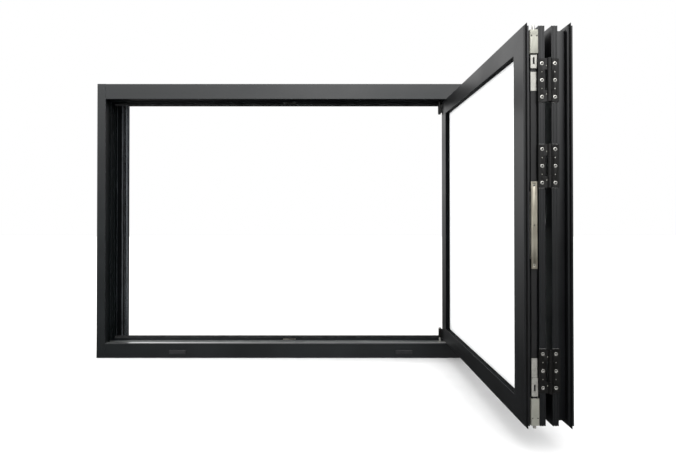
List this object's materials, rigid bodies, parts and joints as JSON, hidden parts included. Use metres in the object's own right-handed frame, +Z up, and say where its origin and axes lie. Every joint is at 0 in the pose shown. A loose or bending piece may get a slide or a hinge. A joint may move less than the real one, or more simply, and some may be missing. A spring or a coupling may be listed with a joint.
{
  "type": "folding window",
  "caption": "Outward folding window: two glazed aluminium leaves hinged to each other and to one jamb, guided in head and sill tracks, with a shoot-bolt lock, shown folded open.",
  "frame": {"origin": "middle of the underside of the sill, centred left to right and front to back on the fixed frame", "axes": "+X to the right seen from outdoors, +Y from outdoors into the room, +Z up"},
  "size_m": [1.5, 0.8017, 1.06],
  "materials": {
    "frame_extrusion": "satin black powder coat",
    "leaf_extrusion": "satin black powder coat",
    "glass": "clear float glass",
    "spacer_bar": "black warm-edge spacer",
    "black_rubber": "matt EPDM",
    "grey_plastic": "moulded",
    "mill_aluminium": "mill finish",
    "zinc_steel": "zinc plated",
    "stainless": "stainless, satin",
    "die_cast_zinc": "silver coated die casting",
    "hinge_black": "black coated",
    "handle_black": "black coated",
    "black_plastic": "moulded",
    "brush_pile": "black pile",
    "white_nylon": "nylon"
  },
  "bodies": {
    "outer_frame": {"left_jamb": "frame_extrusion", "right_jamb": "frame_extrusion", "head_rail": "frame_extrusion", "sill_rail": "frame_extrusion", "frame_joint_screws": "zinc_steel", "inner_stops": "frame_extrusion", "stop_gaskets": "black_rubber", "weather_brushes": "brush_pile", "head_track_strips": "stainless", "sill_track": "stainless", "drain_covers": "black_plastic", "strike_plates": "stainless", "jamb_hinge_fixed_plates": "hinge_black", "jamb_hinge_pins": "stainless", "frame_hardware_screws": "stainless"},
    "outer_leaf": {"outer_leaf_pivot_stile": "leaf_extrusion", "outer_leaf_fold_stile": "leaf_extrusion", "outer_leaf_bottom_rail": "leaf_extrusion", "outer_leaf_top_rail": "leaf_extrusion", "outer_leaf_glass_panes": "glass", "outer_leaf_glass_spacer": "spacer_bar", "outer_leaf_glazing_beads": "leaf_extrusion", "outer_leaf_glazing_gaskets": "black_rubber", "outer_leaf_setting_blocks": "grey_plastic", "outer_leaf_corner_cleats": "mill_aluminium", "jamb_hinge_leaf_plates": "hinge_black", "fold_hinge_outer_plates": "hinge_black", "outer_leaf_hinge_screws": "stainless"},
    "lead_leaf": {"lead_leaf_pivot_stile": "leaf_extrusion", "lead_leaf_fold_stile": "leaf_extrusion", "lead_leaf_bottom_rail": "leaf_extrusion", "lead_leaf_top_rail": "leaf_extrusion", "lead_leaf_glass_panes": "glass", "lead_leaf_glass_spacer": "spacer_bar", "lead_leaf_glazing_beads": "leaf_extrusion", "lead_leaf_glazing_gaskets": "black_rubber", "lead_leaf_setting_blocks": "grey_plastic", "lead_leaf_corner_cleats": "mill_aluminium", "fold_hinge_lead_plates": "hinge_black", "fold_hinge_pins": "stainless", "lead_leaf_hinge_screws": "stainless", "lead_leaf_small_screws": "stainless", "pivot_brackets": "hinge_black", "lock_gearbox": "zinc_steel", "lock_faceplate": "stainless", "bolt_housings": "die_cast_zinc", "handle_rose": "handle_black"},
    "handle": {"handle_lever": "handle_black", "handle_spindle": "zinc_steel"},
    "upper_bolt": {"upper_drive_rod": "zinc_steel", "upper_shoot_bolt": "zinc_steel"},
    "lower_bolt": {"lower_drive_rod": "zinc_steel", "lower_shoot_bolt": "zinc_steel"},
    "top_carriage": {"carriage_body": "die_cast_zinc", "carriage_stem": "stainless"},
    "near_wheel_set": {"carriage_near_wheels": "white_nylon"},
    "far_wheel_set": {"carriage_far_wheels": "white_nylon"},
    "bottom_guide": {"guide_block": "die_cast_zinc"},
    "bottom_roller": {"guide_roller": "white_nylon"}
  },
  "joints": [
    {"name": "outer_leaf_swing", "type": "hinge", "parent": "outer_frame", "child": "outer_leaf", "pos_m": [0.711, -0.0285, 0.53], "axis": [0, 0, 1], "range_deg": [-90, 0]},
    {"name": "lead_leaf_fold", "type": "hinge", "parent": "outer_leaf", "child": "lead_leaf", "pos_m": [0.647, -0.7395, 0.53], "axis": [0, 0, 1], "range_deg": [0, 180]},
    {"name": "carriage_pivot", "type": "hinge", "parent": "lead_leaf", "child": "top_carriage", "pos_m": [0.583, -0.0285, 1], "axis": [0, 0, 1], "range_deg": [-90, 0]},
    {"name": "guide_pivot", "type": "hinge", "parent": "lead_leaf", "child": "bottom_guide", "pos_m": [0.583, -0.0285, 0.06], "axis": [0, 0, 1], "range_deg": [-90, 0]},
    {"name": "near_wheels_spin", "type": "hinge", "parent": "top_carriage", "child": "near_wheel_set", "pos_m": [0.599, -0.0285, 1.01405], "axis": [0, 1, 0], "continuous": true},
    {"name": "far_wheels_spin", "type": "hinge", "parent": "top_carriage", "child": "far_wheel_set", "pos_m": [0.629, -0.0285, 1.01405], "axis": [0, 1, 0], "continuous": true},
    {"name": "bottom_roller_spin", "type": "hinge", "parent": "bottom_guide", "child": "bottom_roller", "pos_m": [0.597, -0.0285, 0.042], "axis": [0, 0, 1], "continuous": true},
    {"name": "handle_turn", "type": "hinge", "parent": "lead_leaf", "child": "handle", "pos_m": [0.639, -0.7075, 0.5295], "axis": [-1, 0, 0], "range_deg": [0, 180]},
    {"name": "upper_bolt_throw", "type": "slide", "parent": "lead_leaf", "child": "upper_bolt", "axis": [0, 0, 1], "range_m": [0, 0.02]},
    {"name": "lower_bolt_throw", "type": "slide", "parent": "lead_leaf", "child": "lower_bolt", "axis": [0, 0, -1], "range_m": [0, 0.02]}
  ],
  "couplings": [
    {"joint": "lead_leaf_fold", "follows": "outer_leaf_swing", "ratio": -2},
    {"joint": "carriage_pivot", "follows": "outer_leaf_swing", "ratio": 1},
    {"joint": "guide_pivot", "follows": "outer_leaf_swing", "ratio": 1},
    {"joint": "upper_bolt_throw", "follows": "handle_turn", "m_per_rad": 0.006366},
    {"joint": "lower_bolt_throw", "follows": "handle_turn", "m_per_rad": 0.006366}
  ]
}
